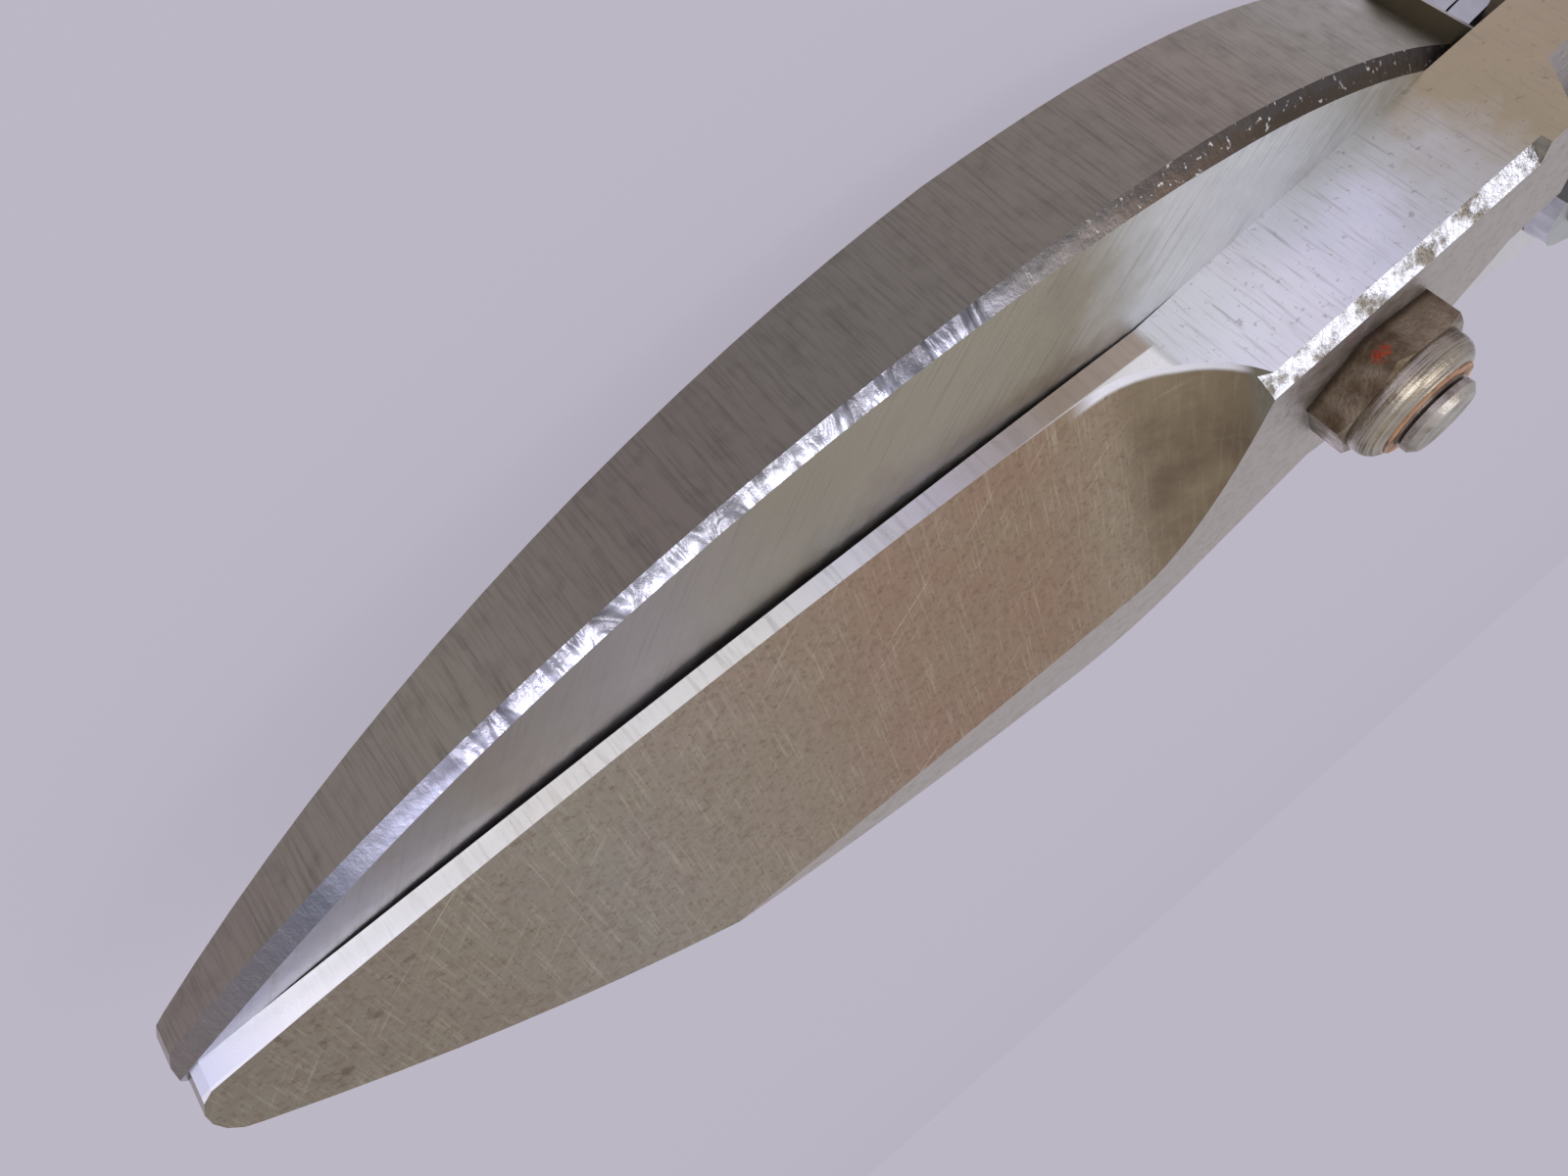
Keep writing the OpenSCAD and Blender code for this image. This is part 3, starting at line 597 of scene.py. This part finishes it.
class SNIPS_OT_grips(bpy.types.Operator):
    """Lofts both vinyl grips over the handle channels"""

    bl_idname = "snips.grips"
    bl_label = "Mould the grips"

    def execute(self, context):
        sizes = context.scene.snips_grips
        vinyl = moulded_vinyl(tuple(sizes.colour))
        for side, node, body in ((1, "upper_grip", "upper_handle"), (-1, "lower_grip", "lower_handle")):
            low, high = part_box(node)
            piece = to_object(node + "_moulded", grip_mesh(side, low, high, sizes), vinyl)
            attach(piece, body)
            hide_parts(node)
        return {"FINISHED"}


# ---- Return spring ----


class SNIPS_PG_spring(bpy.types.PropertyGroup):
    """Sizes of the return spring."""

    wire: FloatProperty(name="Wire", description="Diameter of the wire", default=1.2 * MM, min=0.5 * MM,
                        max=2.0 * MM, unit="LENGTH")
    turns: IntProperty(name="Turns", description="Turns of the coil", default=7, min=4, max=12)


def drawn_wire():
    """Hard-drawn spring wire, blued by heat: dark straw-grey sheen with fine lines along the wire."""
    material, tree, surface = new_material("Hard-drawn spring wire", 1.0, 0.33)
    place, at, facing = pivot_frame(tree)
    patches = blotches(tree, place, 2.5, detail=4.0)
    colour = blend_in(tree, linear("#75716c"), linear("#4d4a48"), between(tree, patches, 0.35, 0.65))
    tree.links.new(colour.outputs[2], surface.inputs["Base Color"])
    relief_bump(tree, surface, product(tree, blotches(tree, place, 0.3), 0.02))
    return material


def coil_mesh(low, high, wire, turns):
    """A closed-end compression coil along y that fills its box, swept as a round wire."""
    mesh = bmesh.new()
    centre = (low + high) / 2
    radius = (high.x - low.x) / 2 - wire / 2
    rise = high.y - low.y - wire
    steps, sides = turns * 36, 14
    dead = 0.85 / turns
    pitch = wire * 0.9
    rings = []
    for i in range(steps + 1):
        u = i / steps
        if u < dead:
            climb = u / dead * pitch
        elif u > 1 - dead:
            climb = rise - (1 - u) / dead * pitch
        else:
            climb = pitch + (u - dead) / (1 - 2 * dead) * (rise - 2 * pitch)
        a = 2 * math.pi * turns * u
        outward = Vector((math.cos(a), 0, math.sin(a)))
        middle = centre + outward * radius + Vector((0, climb - rise / 2, 0))
        taper = min(1.0, 0.45 + 2.2 * min(u, 1 - u) * turns)
        ring = []
        for k in range(sides):
            b = 2 * math.pi * k / sides
            rise_part = math.sin(b) * wire / 2 * (taper if (math.sin(b) < 0) == (u < 0.5) else 1.0)
            ring.append(mesh.verts.new(middle + outward * (math.cos(b) * wire / 2) + Vector((0,
                    rise_part, 0))))
        rings.append(ring)
    for a, b in zip(rings, rings[1:]):
        for k in range(sides):
            mesh.faces.new((a[k], b[k], b[(k + 1) % sides], a[(k + 1) % sides]))
    for ring in (rings[0], rings[-1]):
        mesh.faces.new(ring)
    bmesh.ops.recalc_face_normals(mesh, faces=mesh.faces)
    return mesh


class SNIPS_OT_spring(bpy.types.Operator):
    """Winds the return spring between the tangs"""

    bl_idname = "snips.spring"
    bl_label = "Wind the return spring"

    def execute(self, context):
        sizes = context.scene.snips_spring
        low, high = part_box("return_spring")
        piece = to_object("return_coil", coil_mesh(low, high, sizes.wire, sizes.turns), drawn_wire())
        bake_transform(piece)
        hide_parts("return_spring")
        return {"FINISHED"}


# ---- Stage ----


class SNIPS_PG_stage(bpy.types.PropertyGroup):
    """Colour and light of the stage."""

    paper: FloatVectorProperty(
        name="Paper", description="Colour of the floor and background", default=linear("#bcb7c5")[:3],
        subtype="COLOR", size=3, min=0.0, max=1.0)
    softbox: FloatProperty(name="Softbox", description="Power of the main softbox", default=10.0, min=0.0,
                           max=60.0, unit="POWER")


def paper_material(colour):
    """Sized paper, matt: an even pale sheet that keeps a soft shadow."""
    material = bpy.data.materials.new("Matt paper")
    material.use_nodes = True
    tree = material.node_tree
    tree.nodes.clear()
    rays = add(tree, "ShaderNodeLightPath")
    seen = summed(tree, rays.outputs["Is Camera Ray"], rays.outputs["Is Glossy Ray"])
    share = product(tree, between(tree, seen, 0.0, 1.0), 0.85)
    strength = add(tree, "ShaderNodeMapRange", {0: rays.outputs["Is Glossy Ray"], 3: 1.0, 4: 2.2})
    matt = add(tree, "ShaderNodeBsdfDiffuse", {"Color": (*(0.8 * c for c in colour), 1.0)})
    even = add(tree, "ShaderNodeEmission", {"Color": (*colour, 1.0), "Strength": strength})
    add(tree, "ShaderNodeOutputMaterial", {
        "Surface": add(tree, "ShaderNodeMixShader", {0: share, 1: matt, 2: even})})
    return material


def area_light(name, at, towards, size, power, colour=(1, 1, 1)):
    """A square softbox that faces a point."""
    lamp = bpy.data.lights.new(name, "AREA")
    lamp.size = size
    lamp.energy = power
    lamp.color = colour
    holder = bpy.data.objects.new(name, lamp)
    bpy.context.scene.collection.objects.link(holder)
    holder.location = at
    holder.rotation_euler = (Vector(towards) - Vector(at)).to_track_quat("-Z", "Y").to_euler()


# Camera: where it stands in the frame, and its right, down and forward directions
CAMERA_AT = (-0.1166, 0.07026, 0.0418)
CAMERA_RIGHT = Vector((0.792, -0.090, 0.6039))
CAMERA_DOWN = Vector((-0.5726, -0.4527, 0.6835))
CAMERA_FORWARD = Vector((0.2118, -0.8871, -0.4100))
CAMERA_LENS = 26.06  # mm, on a 36 mm wide sensor


class SNIPS_OT_stage(bpy.types.Operator):
    """Sets the floor, the lights, the world and the camera"""

    bl_idname = "snips.stage"
    bl_label = "Set the stage"

    def execute(self, context):
        sizes = context.scene.snips_stage
        colour = tuple(sizes.paper)
        mesh = bmesh.new()
        bmesh.ops.create_circle(mesh, cap_ends=True, segments=96, radius=4.0)
        floor = to_object("floor", mesh, paper_material(colour))
        floor.location.z = -0.0002

        world = bpy.data.worlds.new("Studio")
        context.scene.world = world
        world.use_nodes = True
        tree = world.node_tree
        tree.nodes.clear()
        rays = add(tree, "ShaderNodeLightPath")
        direction = add(tree, "ShaderNodeSeparateXYZ", {0: add(tree, "ShaderNodeTexCoord")})
        height = between(tree, direction.outputs[2], -0.1, 0.9)
        sky = blend_in(tree, (0.58, 0.575, 0.60, 1.0), (0.95, 0.95, 0.98, 1.0), height)
        seen = blend_in(tree, sky, (*colour, 1.0), rays.outputs["Is Camera Ray"])
        backdrop = add(tree, "ShaderNodeBackground", {"Color": seen.outputs[2], "Strength": 1.0})
        add(tree, "ShaderNodeOutputWorld", {"Surface": backdrop})

        middle = (-0.1, 0.0, 0.012)
        area_light("Key softbox", (-0.8, 1.1, 1.3), middle, 0.9, sizes.softbox)
        area_light("Nut side softbox", (0.5, 0.5, 1.6), middle, 0.8, sizes.softbox * 0.7)
        area_light("Tip softbox", (-1.1, 1.2, 0.35), middle, 0.5, sizes.softbox * 0.3)

        lens = bpy.data.cameras.new("Camera")
        lens.lens = CAMERA_LENS
        lens.sensor_width = 36.0
        lens.clip_start = 0.002
        camera = bpy.data.objects.new("Camera", lens)
        context.scene.collection.objects.link(camera)
        turned = Matrix((CAMERA_RIGHT, -CAMERA_DOWN, -CAMERA_FORWARD)).transposed().to_4x4()
        camera.matrix_world = Matrix.Translation(CAMERA_AT) @ turned
        context.scene.camera = camera
        context.scene.view_settings.view_transform = "Standard"
        return {"FINISHED"}


class SNIPS_PT_panel(bpy.types.Panel):
    """Lists the steps that finish the snips"""

    bl_idname = "SNIPS_PT_panel"
    bl_label = "Aviation snips"
    bl_space_type = "VIEW_3D"
    bl_region_type = "UI"
    bl_category = "Snips"

    def draw(self, context):
        for group in (context.scene.snips_grips, context.scene.snips_spring,
                      context.scene.snips_stage):
            for key in group.__annotations__:
                self.layout.prop(group, key)
        for operator in OPERATORS:
            self.layout.operator(operator.bl_idname)


GROUPS = (SNIPS_PG_grips, SNIPS_PG_spring, SNIPS_PG_stage)
OPERATORS = (SNIPS_OT_stage, SNIPS_OT_blades, SNIPS_OT_pivot, SNIPS_OT_handles, SNIPS_OT_grips,
        SNIPS_OT_spring)


def register():
    for item in GROUPS + OPERATORS + (SNIPS_PT_panel,):
        bpy.utils.register_class(item)
    bpy.types.Scene.snips_grips = PointerProperty(type=SNIPS_PG_grips)
    bpy.types.Scene.snips_spring = PointerProperty(type=SNIPS_PG_spring)
    bpy.types.Scene.snips_stage = PointerProperty(type=SNIPS_PG_stage)


def unregister():
    del bpy.types.Scene.snips_stage
    del bpy.types.Scene.snips_spring
    del bpy.types.Scene.snips_grips
    for item in reversed(GROUPS + OPERATORS + (SNIPS_PT_panel,)):
        bpy.utils.unregister_class(item)


def main():
    register()
    bpy.ops.snips.stage()
    bpy.ops.snips.blades()
    bpy.ops.snips.pivot()
    bpy.ops.snips.handles()
    bpy.ops.snips.grips()
    bpy.ops.snips.spring()


if __name__ == "__main__":
    main()
